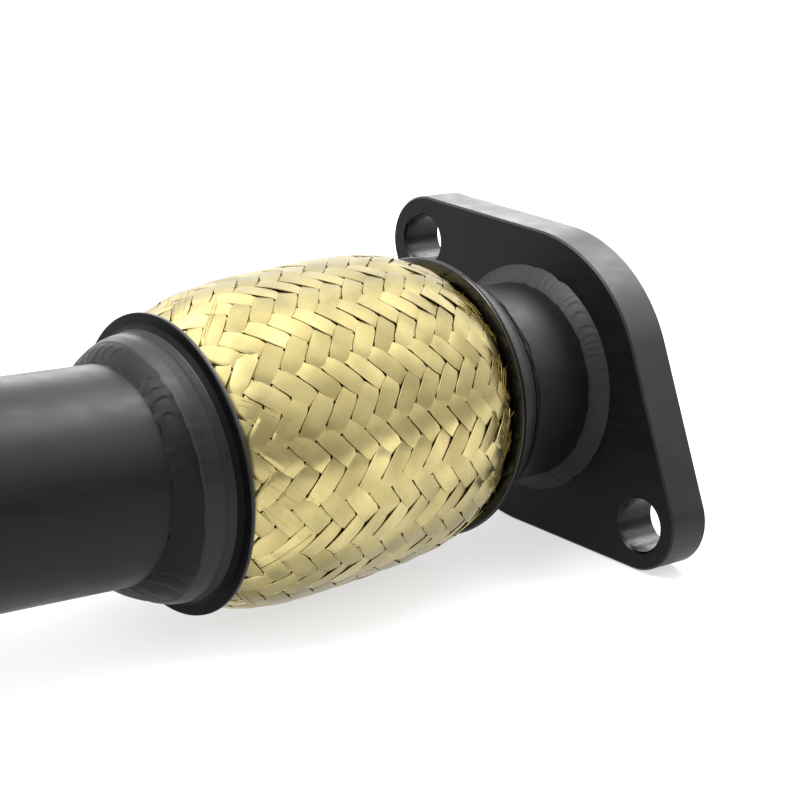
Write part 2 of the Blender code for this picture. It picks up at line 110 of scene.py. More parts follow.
def flex_frame(station):
    """Centre and turn of the flex joint's section at a distance from the neck collar's lip."""
    if station <= 0:
        return NECK_COLLAR_PLACE + NECK_DIRECTION * station, Quaternion()
    if station >= FLEX_LENGTH:
        return TUBE_COLLAR_PLACE + COLLAR_DIRECTION * (station - FLEX_LENGTH), COLLAR_TURN
    u = station / FLEX_LENGTH
    span = TUBE_COLLAR_PLACE - NECK_COLLAR_PLACE
    start_pull = NECK_DIRECTION * FLEX_LENGTH
    end_pull = COLLAR_DIRECTION * FLEX_LENGTH
    centre = NECK_COLLAR_PLACE + span * (3 * u ** 2 - 2 * u ** 3)
    centre += start_pull * (u ** 3 - 2 * u ** 2 + u) + end_pull * (u ** 3 - u ** 2)
    tangent = span * (6 * u - 6 * u ** 2)
    tangent += start_pull * (3 * u ** 2 - 4 * u + 1) + end_pull * (3 * u ** 2 - 2 * u)
    return centre, NECK_DIRECTION.rotation_difference(tangent)


def braid_radius(station):
    """Outer radius of the braid: a barrel that draws in steeply at both collars."""
    half = FLEX_LENGTH / 2
    off_middle = min(abs(station - half) / half, 1.0)
    fullness = (1 - off_middle ** BRAID_FULLNESS) ** (1 / BRAID_ROUNDING)
    return BRAID_END_RADIUS + (BRAID_RADIUS - BRAID_END_RADIUS) * fullness


# Nodes that the materials are made of

# The range that most of a noise texture's values lie in
NOISE_LOW = 0.3
NOISE_HIGH = 0.7


def shader_of(name, color, roughness, metallic, specular):
    """A new material with its node tree and its shader."""
    made = bpy.data.materials.new(name)
    made.use_nodes = True
    shader = made.node_tree.nodes["Principled BSDF"]
    shader.inputs["Base Color"].default_value = (*color, 1)
    shader.inputs["Roughness"].default_value = roughness
    shader.inputs["Metallic"].default_value = metallic
    shader.inputs["Specular IOR Level"].default_value = specular
    return made, made.node_tree, shader


def object_coordinates(tree):
    """The place on the piece, in metres."""
    return tree.nodes.new("ShaderNodeTexCoord").outputs["Object"]


def split(tree, vector):
    """The three parts of a vector, by the names X, Y and Z."""
    node = tree.nodes.new("ShaderNodeSeparateXYZ")
    tree.links.new(vector, node.inputs["Vector"])
    return node.outputs


def noise(tree, vector, scale, detail, stretch=(1, 1, 1)):
    """A noise texture. Its scale is the number of cells to one unit of the vector."""
    mapping = tree.nodes.new("ShaderNodeMapping")
    mapping.inputs["Scale"].default_value = stretch
    tree.links.new(vector, mapping.inputs["Vector"])
    texture = tree.nodes.new("ShaderNodeTexNoise")
    texture.inputs["Scale"].default_value = scale
    texture.inputs["Detail"].default_value = detail
    tree.links.new(mapping.outputs["Vector"], texture.inputs["Vector"])
    return texture.outputs["Fac"]


def ranged(tree, value, start, end, low, high, ease="LINEAR"):
    """A value carried from one range to another, and held at the ends."""
    node = tree.nodes.new("ShaderNodeMapRange")
    node.interpolation_type = ease
    for name, number in (("From Min", start), ("From Max", end), ("To Min", low), ("To Max", high)):
        node.inputs[name].default_value = number
    tree.links.new(value, node.inputs["Value"])
    return node.outputs["Result"]


def spread(tree, value, low, high):
    """A noise value carried to a range of its own."""
    return ranged(tree, value, NOISE_LOW, NOISE_HIGH, low, high)


def reckoned(tree, operation, *values, clamp=False):
    """What a sum or the like gives. Each value is a number or a node's output."""
    node = tree.nodes.new("ShaderNodeMath")
    node.operation = operation
    node.use_clamp = clamp
    for socket, value in zip(node.inputs, values):
        if isinstance(value, float):
            socket.default_value = value
        else:
            tree.links.new(value, socket)
    return node.outputs["Value"]


def bump(tree, height, distance, strength=1.0, below=None):
    """A surface normal roughened by a height, over another one where that is given."""
    node = tree.nodes.new("ShaderNodeBump")
    node.inputs["Distance"].default_value = distance
    node.inputs["Strength"].default_value = strength
    tree.links.new(height, node.inputs["Height"])
    if below is not None:
        tree.links.new(below, node.inputs["Normal"])
    return node.outputs["Normal"]


def mixed(tree, share, first, second):
    """A colour between two. Each of them is a plain colour or a node's output."""
    node = tree.nodes.new("ShaderNodeMix")
    node.data_type = "RGBA"
    for name, color in (("A", first), ("B", second)):
        if isinstance(color, tuple):
            node.inputs[name].default_value = (*color, 1)
        else:
            tree.links.new(color, node.inputs[name])
    tree.links.new(share, node.inputs["Factor"])
    return node.outputs["Result"]


def grey(level):
    """A colour without hue."""
    return (level, level, level)


# Materials

PLAIN_SPECULAR = 0.5
STRIP_GOLD = (0.8, 0.66, 0.36)
LIGHT_GOLD = ((0.57, 0.475, 0.20), (0.64, 0.55, 0.265))
DARK_GOLD = ((0.32, 0.26, 0.105), (0.39, 0.32, 0.14))
# The colour that both random tarnish and painted shade darken the strips towards
TARNISH_AND_SHADE = (0.275, 0.235, 0.10)
STRIP_WIRES = 8
# Heights between which the lower and the upper part of the braid darken with painted shade, from nothing to
# most
LOW_SHADE_RANGE = (0.050, 0.005)
HIGH_SHADE_RANGE = (0.044, 0.070)


def make_coat(name, roughness, grain, specular, tone):
    """Satin black coating: fine grain, low runs, scuffs and slow changes of gloss."""
    made, tree, shader = shader_of(name, grey(tone), roughness, 0.0, specular)
    place = object_coordinates(tree)
    fine = noise(tree, place, scale=1400, detail=3.0)
    slow = noise(tree, place, scale=60, detail=3.0)
    scuffs = noise(tree, place, scale=160, detail=5.0, stretch=(1, 1, 5))
    slow_gloss = spread(tree, slow, roughness - 0.05, roughness + 0.03)
    gloss = reckoned(tree, "ADD", slow_gloss, spread(tree, scuffs, -0.04, 0.06))
    tree.links.new(gloss, shader.inputs["Roughness"])
    tint = mixed(tree, scuffs, grey(tone * 0.5), grey(tone * 1.6))
    tree.links.new(tint, shader.inputs["Base Color"])
    runs = bump(tree, noise(tree, place, scale=220, detail=1.0), distance=0.000015)
    tree.links.new(bump(tree, fine, distance=grain, below=runs), shader.inputs["Normal"])
    return made


def make_strip_metal(name, low_shade, high_shade):
    """Woven strip: bundled fine wires that run along it, pale gold, with random tarnish, and painted shade
    low and high on the braid.
    """
    made, tree, shader = shader_of(name, STRIP_GOLD, 0.3, 1.0, PLAIN_SPECULAR)
    along = tree.nodes.new("ShaderNodeUVMap").outputs["UV"]
    turns = reckoned(tree, "MULTIPLY", split(tree, along)["X"], STRIP_WIRES * math.pi)
    wires = reckoned(tree, "ABSOLUTE", reckoned(tree, "SINE", turns))
    streak = noise(tree, along, scale=1.0, detail=3.0, stretch=(14, 0.9, 1))
    patch = noise(tree, along, scale=1.0, detail=1.0, stretch=(0.25, 0.3, 1))
    light = mixed(tree, streak, *LIGHT_GOLD)
    dark = mixed(tree, streak, *DARK_GOLD)
    tone = mixed(tree, spread(tree, patch, 0.0, 1.0), dark, light)
    place = object_coordinates(tree)
    stain_and_shade = spread(tree, noise(tree, place, scale=110, detail=4.0), -0.35, 0.55)
    # Painted shade: the strips darken towards the bottom and the top of the braid, by height alone
    for heights, most in ((LOW_SHADE_RANGE, low_shade), (HIGH_SHADE_RANGE, high_shade)):
        share = ranged(tree, split(tree, place)["Z"], *heights, 0.0, most)
        stain_and_shade = reckoned(tree, "ADD", stain_and_shade, share, clamp=True)
    tree.links.new(mixed(tree, stain_and_shade, tone, TARNISH_AND_SHADE), shader.inputs["Base Color"])
    tree.links.new(spread(tree, patch, 0.34, 0.22), shader.inputs["Roughness"])
    rounded = bump(tree, wires, distance=0.00003, strength=0.10)
    streaked = bump(tree, streak, distance=0.00005, strength=0.12, below=rounded)
    tree.links.new(streaked, shader.inputs["Normal"])
    return made


def make_bare_metal(name, color, roughness, strength=0.5):
    """Bare sheet or cut metal with fine marks."""
    made, tree, shader = shader_of(name, color, roughness, 1.0, PLAIN_SPECULAR)
    marks = noise(tree, object_coordinates(tree), scale=500, detail=4.0, stretch=(1, 6, 6))
    tree.links.new(spread(tree, marks, roughness - 0.08, roughness + 0.1), shader.inputs["Roughness"])
    tree.links.new(bump(tree, marks, distance=0.00003, strength=strength), shader.inputs["Normal"])
    return made


def make_floor_paint():
    """A pale floor that glows a little, so that shadows on it stay light."""
    made, tree, shader = shader_of("floor_paint", grey(0.92), 0.9, 0.0, 0.1)
    slow = noise(tree, object_coordinates(tree), scale=6, detail=2.0)
    tree.links.new(mixed(tree, slow, grey(0.255), grey(0.265)), shader.inputs["Base Color"])
    shader.inputs["Emission Color"].default_value = (*grey(1), 1)
    shader.inputs["Emission Strength"].default_value = 0.62
    return made


tube_coat = make_coat("tube_coat", roughness=0.40, grain=0.000012, specular=0.14, tone=0.003)
neck_coat = make_coat("neck_coat", roughness=0.52, grain=0.000012, specular=0.18, tone=0.003)
# Painted sheen: the collars' shoulders get a lighter, glossier copy of the coat
shoulder_sheen_coat = make_coat("shoulder_sheen_coat", roughness=0.44, grain=0.000012, specular=0.25, tone=0.005)
mouth_coat = make_coat("mouth_coat", roughness=0.20, grain=0.000006, specular=0.5, tone=0.003)
# Painted shade: the collars' lips get a darker, duller copy of the coat
lip_shade_coat = make_coat("lip_shade_coat", roughness=0.45, grain=0.000012, specular=0.05, tone=0.0015)
weld_coat = make_coat("weld_coat", roughness=0.46, grain=0.00003, specular=0.12, tone=0.003)
# Painted sheen: the flange beads get a lighter, glossier copy of the weld coat
ring_sheen_coat = make_coat("ring_sheen_coat", roughness=0.44, grain=0.00003, specular=0.19, tone=0.007)
# Painted highlight: the plates' cut edges get a lighter, glossier copy of the plate coat
edge_highlight_coat = make_coat("edge_highlight_coat", roughness=0.42, grain=0.00002, specular=0.20, tone=0.005)
plate_coat = make_coat("plate_coat", roughness=0.42, grain=0.000015, specular=0.12, tone=0.003)
# The two families differ only in how much painted shade they get low and high on the braid
right_metal = make_strip_metal("strip_metal_right", low_shade=0.30, high_shade=0.42)
left_metal = make_strip_metal("strip_metal_left", low_shade=0.95, high_shade=0.05)
stainless = make_bare_metal("stainless_sheet", color=(0.42, 0.41, 0.40), roughness=0.35)
wire_metal = make_bare_metal("wire_metal", color=(0.50, 0.42, 0.18), roughness=0.28)
hole_metal = make_bare_metal("hole_metal", color=(0.018, 0.018, 0.019), roughness=0.29, strength=0.03)


# How pieces are made

ROUND_SIDES = 144
NEARLY_STRAIGHT = math.radians(172)
MOST_CUT = 0.45


def piece(name, mesh, surface, node, sharp=40):
    """Link a finished mesh, smooth it and let it stand for a CAD node."""
    tidy = bmesh.new()
    tidy.from_mesh(mesh)
    bmesh.ops.recalc_face_normals(tidy, faces=tidy.faces)
    tidy.to_mesh(mesh)
    tidy.free()
    mesh.materials.clear()
    mesh.materials.append(surface)
    mesh.shade_smooth()
    mesh.set_sharp_from_angle(angle=math.radians(sharp))
    made = bpy.data.objects.new(name, mesh)
    bpy.context.scene.collection.objects.link(made)
    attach(made, "root")
    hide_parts(node)
    return made


def round_angles(sides):
    """Evenly spaced angles once round."""
    return np.linspace(0, FULL_TURN, sides, endpoint=False)


def mesh_of(name, corners, faces):
    """A mesh from its corners and faces."""
    mesh = bpy.data.meshes.new(name)
    mesh.from_pydata([tuple(corner) for corner in corners], [], faces)
    return mesh


def ring_mesh(name, rings):
    """A mesh from a row of rings of points. Each ring is closed, and so is the row of rings."""
    rings = np.array(rings)
    count, around, _ = rings.shape
    faces = []
    for i in range(count):
        after = (i + 1) % count
        for j in range(around):
            beside = (j + 1) % around
            faces.append((i * around + j, i * around + beside, after * around + beside, after * around + j))
    return mesh_of(name, rings.reshape(-1, 3), faces)


def swept_faces(start, count, around):
    """Faces of a closed section swept along a run and capped. The first corner has the number start."""
    faces = []
    for i in range(count - 1):
        here = start + i * around
        for j in range(around):
            k = (j + 1) % around
            faces.append((here + j, here + k, here + around + k, here + around + j))
    last = start + (count - 1) * around
    faces.append(tuple(start + j for j in range(around)))
    faces.append(tuple(last + j for j in reversed(range(around))))
    return faces


def rounded_loop(profile, radius, steps):
    """A closed loop of (radius, height) corners with each corner rounded."""
    out = []
    count = len(profile)
    for i, corner in enumerate(profile):
        here = Vector(corner)
        before = Vector(profile[i - 1]) - here
        after = Vector(profile[(i + 1) % count]) - here
        turn = before.angle(after)
        if turn > NEARLY_STRAIGHT:
            out.append(tuple(here))
            continue
        cut = min(radius / math.tan(turn / 2), MOST_CUT * before.length, MOST_CUT * after.length)
        start = here + before.normalized() * cut
        end = here + after.normalized() * cut
        for k in range(steps + 1):
            t = k / steps
            out.append(tuple(start * (1 - t) ** 2 + here * 2 * t * (1 - t) + end * t ** 2))
    return out


def turned(name, profile, place, surface, node):
    """A solid of revolution about local Z."""
    angles = round_angles(ROUND_SIDES)
    rings = []
    for radius, height in profile:
        rings.append([place(Vector((radius * math.cos(a), radius * math.sin(a), height))) for a in angles])
    return piece(name, ring_mesh(name, rings), surface, node)


def away_from_axis(spot, middle, axis):
    """The way from an axis to a spot, square to the axis."""
    away = spot - middle
    return away - axis * away.dot(axis)


# Woven strips

# How each family of strips lies. The lean is its angle from the axis. The rest is in strip pitches: where
# the family starts, how far it bows towards the ends, and how it gathers and fans out on one side.
RIGHT_LAY = {"lean": math.radians(45.1), "start": -0.73, "bow": -0.42,
             "gather": 1.14, "gather_side": math.radians(-41), "fan": 0.80, "fan_side": math.radians(133)}
LEFT_LAY = {"lean": math.radians(-46.9), "start": 0.36, "bow": 0.46,
            "gather": 1.07, "gather_side": math.radians(134), "fan": 0.71, "fan_side": math.radians(-83)}
LAY_START = math.radians(205)
LAY_ROUNDS = 40

# A strip's section is given in shares of its width and thickness
STRIP_HEIGHT = 0.00026
STRIP_THICKNESS = 0.00028
STRIP_FILL = 0.968
STRIP_PACKING = 0.024
STRIP_PINCH = 0.19
STRIP_CROWN = 0.00003
STRIP_SAMPLES = 170
STRIP_SECTION = ((-0.5, 0.4), (-0.485, 0.94), (-0.25, 1.0), (0.0, 1.0), (0.25, 1.0), (0.485, 0.94),
                 (0.5, 0.4), (0.0, 0.0))
WOVEN_REACH = 0.004

# A float is the stretch where a strip lies over two others. Four crossings lead from one to the next.
CROSSINGS = 4
FLOAT_MIDDLE = 1.5
FLOAT_FLATNESS = 1.8
FLOAT_HALF = 0.34
FLOAT_RANGE = 1.7

# How uneven the strips are. Their tilt grows towards the neck collar.
WIDTH_UNREST = 0.012
SIDE_UNREST = 0.00006
LIFT_UNREST = 0.00002
TILT_UNREST = 0.050
END_TILT = 1.9
END_TILT_REACH = 0.030
TILT_SINK = 0.3
# How far along the strip one unit of its texture reaches, and how the texture is shifted from strip to strip
TEXTURE_LENGTH = 0.0052
TEXTURE_SHIFT = 37
TEXTURE_UNREST = 40.0

TABLE_MARGIN = 0.008
TABLE_ROWS = 801
table_stations = np.linspace(-TABLE_MARGIN, FLEX_LENGTH + TABLE_MARGIN, TABLE_ROWS)
outer_radii = np.array([braid_radius(station) for station in table_stations])
table_radii = outer_radii - (STRIP_HEIGHT + STRIP_THICKNESS)
table_rate = 1 / (table_radii + STRIP_HEIGHT + STRIP_THICKNESS)
table_steps = (table_rate[1:] + table_rate[:-1]) / 2 * np.diff(table_stations)
table_advance = np.concatenate([[0], np.cumsum(table_steps)])
table_advance -= np.interp(FLEX_LENGTH / 2, table_stations, table_advance)
table_frames = [flex_frame(station) for station in table_stations]
table_centres = np.array([centre for centre, turn in table_frames])
table_sides = np.array([turn @ ACROSS for centre, turn in table_frames])
table_ups = np.array([turn @ UPWARD for centre, turn in table_frames])


def on_flex(stations, radii, angles):
    """Points at stations, radii and angles (from +Y towards +Z) round the bent flex joint."""
    def looked_up(values):
        return np.stack([np.interp(stations, table_stations, values[:, k]) for k in range(3)], axis=-1)
    sideways = looked_up(table_sides) * np.cos(angles)[:, None]
    upwards = looked_up(table_ups) * np.sin(angles)[:, None]
    return looked_up(table_centres) + (sideways + upwards) * radii[:, None]


def drift(lay, advance, turn):
    """How many pitches a strip has drifted from its straight run, by its advance and its turn."""
    gathered = lay["gather"] * np.cos(turn - lay["gather_side"])
    fanned = lay["fan"] * advance * np.cos(turn - lay["fan_side"])
    return lay["start"] + lay["bow"] * advance ** 2 + gathered + fanned


def strip_count(lay, advance, turn):
    """A family's running strip number: whole on the middle line of each strip."""
    straight = BRAID_STRIPS * (turn - math.tan(lay["lean"]) * advance) / FULL_TURN
    return straight + drift(lay, advance, turn) - 0.5


def strip_turn(lay, advance, strip):
    """Where round the pipe a strip runs at each advance."""
    turn = np.zeros_like(advance)
    for _ in range(LAY_ROUNDS):
        straight = FULL_TURN * (strip + 0.5 - drift(lay, advance, turn)) / BRAID_STRIPS
        turn = straight + math.tan(lay["lean"]) * advance
    return turn


def strip_pitch(lay, advance, turn, radii):
    """Distance from a strip to its neighbour, square to the axis."""
    gathered = lay["gather"] * np.sin(turn - lay["gather_side"])
    fanned = lay["fan"] * advance * np.sin(turn - lay["fan_side"])
    return FULL_TURN * radii / (BRAID_STRIPS - FULL_TURN * (gathered + fanned))


def wave_height(column):
    """Height of a strip along its run, as a share: over two crossings, then under two."""
    wave = np.cos(FULL_TURN / CROSSINGS * (column - FLOAT_MIDDLE))
    return np.tanh(FLOAT_FLATNESS * wave) / math.tanh(FLOAT_FLATNESS)


def smooth_random(unrest, knots):
    """Seeded values that change slowly along a strip, one for each sample."""
    values = chance.normal(0, unrest, knots)
    return np.interp(np.linspace(0, knots - 1, STRIP_SAMPLES), np.arange(knots), values)


def by_float(column, over_sign, unrest):
    """A random value for each float of a strip, changing over where the strip lies hidden below."""
    phase = (column - FLOAT_MIDDLE - (1 - over_sign)) / CROSSINGS
    whole = np.arange(math.floor(phase.min()) - 1, math.ceil(phase.max()) + 2)
    values = chance.uniform(-FLOAT_RANGE * unrest, FLOAT_RANGE * unrest, len(whole))
    knots = np.stack([whole - FLOAT_HALF, whole + FLOAT_HALF], axis=1).ravel()
    return np.interp(phase, knots, np.repeat(values, 2))


def strip_corners(lay, over_sign, strip, advance, stations):
    """The corners of one strip's sections and how far along its texture each section lies."""
    turn = strip_turn(lay, advance, strip)
    radii = np.interp(stations, table_stations, table_radii)
    along_step = np.gradient(stations)
    round_step = np.gradient(turn) * radii
    length = np.hypot(along_step, round_step)
    along_share = along_step / length
    round_share = round_step / length
    column = strip_count(RIGHT_LAY, advance, turn) + strip_count(LEFT_LAY, advance, turn)
    over = over_sign * wave_height(column)
    fill = STRIP_FILL + over_sign * STRIP_PACKING * np.sin(LAY_START + turn)
    pinch = 1 - STRIP_PINCH * (1 - over ** 2) ** 3
    width = strip_pitch(lay, advance, turn, radii) * along_share * fill * pinch
    width = width * (1 + smooth_random(WIDTH_UNREST, knots=9))
    aside = smooth_random(SIDE_UNREST, knots=12)
    lift = smooth_random(LIFT_UNREST, knots=14)
    tilt = by_float(column, over_sign, TILT_UNREST)
    tilt = tilt * np.interp(stations, (0, END_TILT_REACH), (END_TILT, 1.0))
    rows = []
    for share, level in STRIP_SECTION:
        offset = share * width + aside
        here = stations - offset * round_share
        radius = np.interp(here, table_stations, table_radii)
        height = STRIP_HEIGHT * over + lift + STRIP_THICKNESS * level
        height = height - STRIP_CROWN * (2 * share) ** 2 + (tilt * share - abs(tilt) * TILT_SINK) * width
        rows.append(on_flex(here, radius + height, LAY_START + turn + offset * along_share / radius))
    run = np.cumsum(length) / TEXTURE_LENGTH + TEXTURE_SHIFT * strip
    run = run + by_float(column, over_sign, TEXTURE_UNREST)
    return np.stack(rows, axis=1).reshape(-1, 3), run


def strip_texture_places(run):
    """Texture places of one strip's faces, in the order of swept_faces: across the strip and along it."""
    section = len(STRIP_SECTION)
    across = [share + 0.5 for share, level in STRIP_SECTION]
    places = []
    for i in range(STRIP_SAMPLES - 1):
        for j in range(section):
            left, right = across[j], across[(j + 1) % section]
            places += [(left, run[i]), (right, run[i]), (right, run[i + 1]), (left, run[i + 1])]
    return places + [(0.5, 0.5)] * (2 * section)


def make_strips(name, lay, over_sign, surface):
    """One family's strips in one piece. over_sign is -1 for the family that dives where the other rises."""
    ends = np.interp([-WOVEN_REACH, FLEX_LENGTH + WOVEN_REACH], table_stations, table_advance)
    advance = np.linspace(ends[0], ends[1], STRIP_SAMPLES)
    stations = np.interp(advance, table_advance, table_stations)
    points, faces, places = [], [], []
    for strip in range(BRAID_STRIPS):
        corners, run = strip_corners(lay, over_sign, strip, advance, stations)
        points.append(corners)
        faces += swept_faces(strip * len(corners), STRIP_SAMPLES, len(STRIP_SECTION))
        places += strip_texture_places(run)
    mesh = mesh_of(name, np.concatenate(points), faces)
    layer = mesh.uv_layers.new(name="strip")
    layer.data.foreach_set("uv", np.array(places, dtype=np.float32).ravel())
    return piece(name, mesh, surface, "flex_braid", sharp=50)


# Loose wires: each runs from a root to a tip nearer the collar, and its tip stands off the braid
WIRE_COUNT = 120
WIRE_STEPS = 12
WIRE_ROOT_RANGE = (0.009, 0.015)
WIRE_TIP_RANGE = (0.002, 0.006)
WIRE_LEAN_RANGE = (0.95, 1.15)
WIRE_RISE_RANGE = (0.0002, 0.0012)
WIRE_THICKNESS_RANGE = (0.00006, 0.00010)
WIRE_SIDE_SHARE = 0.7


def make_loose_wires(name):
    """Broken wires that stand off the braid beside the collars, two at the first for each at the second."""
    share = np.linspace(0, 1, WIRE_STEPS)
    points, faces = [], []
    for wire in range(WIRE_COUNT):
        root = chance.uniform(*WIRE_ROOT_RANGE)
        tip = chance.uniform(*WIRE_TIP_RANGE)
        stations = root + (tip - root) * share
        if wire % 3 == 2:
            stations = FLEX_LENGTH - stations
        advance = np.interp(stations, table_stations, table_advance)
        side = chance.choice((-1, 1))
        lean = side * chance.uniform(*WIRE_LEAN_RANGE)
        angles = chance.uniform(0, FULL_TURN) + lean * (advance - advance[0])
        radii = np.interp(stations, table_stations, table_radii) + STRIP_HEIGHT + STRIP_THICKNESS
        radii = radii + chance.uniform(*WIRE_RISE_RANGE) * share ** 2
        thick = chance.uniform(*WIRE_THICKNESS_RANGE)
        rows = []
        for up, aside in ((thick, 0), (0, thick), (-thick, 0), (0, -thick)):
            beside = aside * WIRE_SIDE_SHARE
            rows.append(on_flex(stations + beside, radii + up, angles + beside * side / radii))
        points.append(np.stack(rows, axis=1).reshape(-1, 3))
        faces += swept_faces(wire * len(points[0]), WIRE_STEPS, len(rows))
    mesh = mesh_of(name, np.concatenate(points), faces)
    return piece(name, mesh, wire_metal, "flex_braid", sharp=80)


braid_pieces = [
    make_strips("braid_strips_right", RIGHT_LAY, 1, right_metal),
    make_strips("braid_strips_left", LEFT_LAY, -1, left_metal),
    make_loose_wires("braid_loose_wires"),
]


# Collars

# Radius and height of each corner, from the lip over the shoulder to the tube, and back along the inside
COLLAR_PROFILE = [
    (0.0354, 0.0), (0.0354, 0.0013), (0.0329, 0.0013), (0.0317, 0.0026), (0.0314, 0.0042), (0.0314, 0.0055),
    (0.0311, 0.0072), (0.0304, 0.0092), (0.0292, COLLAR_DEPTH), (0.0277, COLLAR_DEPTH), (0.0277, 0.0085),
    (0.0295, 0.0065), (0.0299, 0.0055), (0.0299, 0.0035), (0.0303, 0.0022), (0.0315, 0.0007), (0.0325, 0.0),
]
COLLAR_ROUNDING = 0.0005
# Where the lip begins, and how a face has to look, as a cosine, to be coated as mouth or lip
LIP_START_RADIUS = 0.0320
LOOKS_BACK = -0.2
LOOKS_INWARD = -0.3
LOOKS_FORWARD = 0.5


def make_collar(side, place):
    """A pressed collar with its own coat on the shoulder, lighter and glossier as painted sheen, on the lip,
    darker and duller as painted shade, and in the mouth.
    """
    profile = rounded_loop(COLLAR_PROFILE, COLLAR_ROUNDING, steps=3)
    made = turned(side + "_collar_pressing", profile, place, shoulder_sheen_coat, side + "_collar")
    made.data.materials.append(lip_shade_coat)
    made.data.materials.append(mouth_coat)
    middle = place(Vector())
    axis = place(UPWARD) - middle
    for face in made.data.polygons:
        away = away_from_axis(face.center, middle, axis)
        forward = face.normal.dot(axis)
        if forward < LOOKS_BACK or face.normal.dot(away.normalized()) < LOOKS_INWARD:
            face.material_index = 2
        elif away.length > LIP_START_RADIUS and (side == "neck" or forward > LOOKS_FORWARD):
            face.material_index = 1


for side, place in collar_frames.items():
    make_collar(side, place)


# Tubes

TUBE_END_ROUNDING = 0.0003
BEND_STEPS = 48
STRAIGHT_STEP = 0.02


def make_neck_tube():
    """The straight tube between the neck flange and its collar."""
    foot = -TUBE_END_DEPTH
    top = NECK_REACH - TUBE_INSERT
    section = [(TUBE_RADIUS, foot), (TUBE_BORE, foot), (TUBE_BORE, top), (TUBE_RADIUS, top)]
    profile = rounded_loop(section, TUBE_END_ROUNDING, steps=2)
    turned("neck_tube_drawn", profile, flange_frames["neck"], neck_coat, "neck_tube")


def make_long_tube():
    """The long tube with its bend, outer and inner wall joined at both ends."""
    aside = (OUTLET_DIRECTION - TUBE_DIRECTION * TUBE_DIRECTION.dot(OUTLET_DIRECTION)).normalized()
    places = [(CROSSING_PLACE + TUBE_DIRECTION * (TUBE_INSERT - TUBE_CROSSING), TUBE_DIRECTION)]
    places.append((places[0][0] + TUBE_DIRECTION * STRAIGHT_STEP, TUBE_DIRECTION))
    for step in range(BEND_STEPS + 1):
        angle = BEND_ANGLE * step / BEND_STEPS
        ahead = TUBE_DIRECTION * math.sin(angle) + aside * (1 - math.cos(angle))
        heading = TUBE_DIRECTION * math.cos(angle) + aside * math.sin(angle)
        places.append((BEND_START + ahead * BEND_RADIUS, heading))
    places.append((OUTLET_PLACE + OUTLET_DIRECTION * TUBE_END_DEPTH, OUTLET_DIRECTION))
    level = TUBE_DIRECTION.cross(aside).normalized()
    angles = round_angles(ROUND_SIDES)
    rings = []
    for radius, row in ((TUBE_RADIUS, places), (TUBE_BORE, places[::-1])):
        for centre, heading in row:
            out = heading.cross(level)
            rings.append([centre + (out * math.cos(a) + level * math.sin(a)) * radius for a in angles])
    piece("long_tube_bent", ring_mesh("long_tube_bent", rings), tube_coat, "up_tube")


make_neck_tube()
make_long_tube()


# Flange plates

# The ears are drawn a touch smaller than the solid's, so that the plate stays inside its box
DRAWN_EAR_RADIUS = 0.01247
EAR_STEPS = 36
BULGE_STEPS = 24
BORE_STEPS = 96
BOLT_HOLE_STEPS = 48
PLATE_EDGE = 0.0005
PLATE_INSET = 0.000002
MERGE_DISTANCE = 0.000001
FLAT_FACE_COSINE = 0.95
HOLE_MARGIN = 0.0003


def arc(centre, radius, start, sweep, steps):
    """Points along an arc about a centre on the local X axis."""
    angles = [start + sweep * i / steps for i in range(steps + 1)]
    return [(centre + radius * math.cos(a), radius * math.sin(a)) for a in angles]


def plate_paths():
    """The plate's outline, its bore and its two bolt holes."""
    ear = math.pi / 2 - EAR_SLOPE
    outline = arc(EAR_REACH, DRAWN_EAR_RADIUS, -ear, 2 * ear, EAR_STEPS)
    outline += arc(0, AXIS_HEIGHT, ear, 2 * EAR_SLOPE, BULGE_STEPS)
    outline += arc(-EAR_REACH, DRAWN_EAR_RADIUS, math.pi - ear, 2 * ear, EAR_STEPS)
    outline += arc(0, AXIS_HEIGHT, math.pi + ear, 2 * EAR_SLOPE, BULGE_STEPS)
    paths = [outline, arc(0, TUBE_RADIUS + GAP, 0, FULL_TURN, BORE_STEPS)[:-1]]
    for side in (-1, 1):
        paths.append(arc(side * BOLT_REACH, BOLT_HOLE_RADIUS, 0, FULL_TURN, BOLT_HOLE_STEPS)[:-1])
    return paths


def plate_mesh(name, place):
    """The plate's solid with broken edges, as a mesh in the pipe's frame."""
    curve = bpy.data.curves.new(name, "CURVE")
    curve.dimensions = "2D"
    for path in plate_paths():
        spline = curve.splines.new("POLY")
        spline.points.add(len(path) - 1)
        for point, spot in zip(spline.points, path):
            point.co = (*spot, 0, 1)
        spline.use_cyclic_u = True
    curve.fill_mode = "BOTH"
    curve.extrude = FLANGE_THICKNESS / 2 - PLATE_EDGE
    curve.bevel_depth = PLATE_EDGE
    curve.bevel_resolution = 0
    curve.offset = -PLATE_EDGE - PLATE_INSET
    drawn = bpy.data.objects.new(name, curve)
    bpy.context.scene.collection.objects.link(drawn)
    bpy.context.view_layer.update()
    mesh = bpy.data.meshes.new_from_object(drawn.evaluated_get(bpy.context.evaluated_depsgraph_get()))
    bpy.data.objects.remove(drawn, do_unlink=True)
    for vertex in mesh.vertices:
        vertex.co = place(vertex.co - UPWARD * (FLANGE_THICKNESS / 2))
    joined = bmesh.new()
    joined.from_mesh(mesh)
    bmesh.ops.remove_doubles(joined, verts=joined.verts, dist=MERGE_DISTANCE)
    joined.to_mesh(mesh)
    joined.free()
    return mesh


